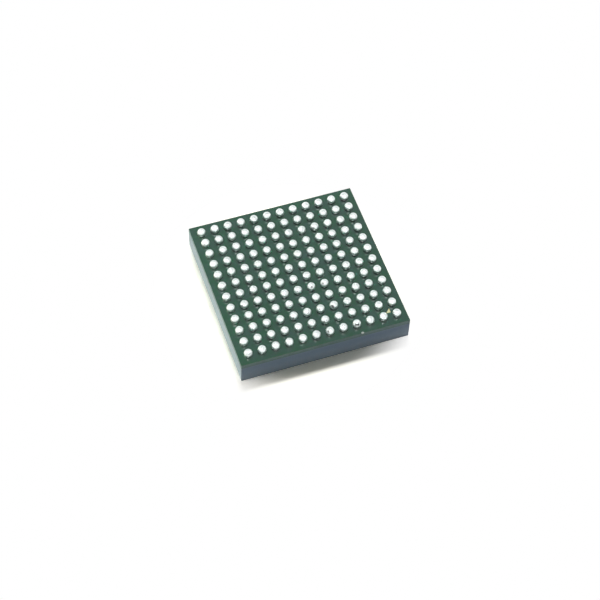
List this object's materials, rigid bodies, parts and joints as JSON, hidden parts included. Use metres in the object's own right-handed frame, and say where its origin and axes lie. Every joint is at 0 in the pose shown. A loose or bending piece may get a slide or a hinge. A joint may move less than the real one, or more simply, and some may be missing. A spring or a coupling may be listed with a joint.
{
  "type": "ball grid array chip",
  "caption": "Square moulded chip package with a full grid of solder balls on its green substrate and a gold triangle marking one corner.",
  "frame": {"origin": "centre of the moulded face, which the chip lies on with its balls up", "axes": "+Z from the moulded face to the balls; +X along the letters from row M to row A; +Y along the numbers from 1 to 12. Ball A1 is at the corner +X, -Y."},
  "size_m": [0.01, 0.01, 0.0019],
  "materials": {
    "mould_compound": "fine satin, slate grey epoxy",
    "solder_mask": "glossy dark green lacquer over copper",
    "laminate": "sawn resin and glass cloth",
    "solder": "bright satin tin solder",
    "gold": "gold",
    "copper": "etched copper foil",
    "silicon": "polished silicon",
    "die_adhesive": "cured adhesive"
  },
  "bodies": {
    "root": {"mould_cap": "mould_compound", "die_attach": "die_adhesive", "die": "silicon", "bond_wires_right": "gold", "bond_wires_back": "gold", "bond_wires_left": "gold", "bond_wires_front": "gold", "die_side_mask": "solder_mask", "die_side_copper": "copper", "laminate_core": "laminate", "filled_vias": "copper", "ball_side_copper": "copper", "index_mark": "gold", "ball_side_mask": "solder_mask", "ball_row_a": "solder", "ball_row_b": "solder", "ball_row_c": "solder", "ball_row_d": "solder", "ball_row_e": "solder", "ball_row_f": "solder", "ball_row_g": "solder", "ball_row_h": "solder", "ball_row_j": "solder", "ball_row_k": "solder", "ball_row_l": "solder", "ball_row_m": "solder"}
  },
  "joints": []
}
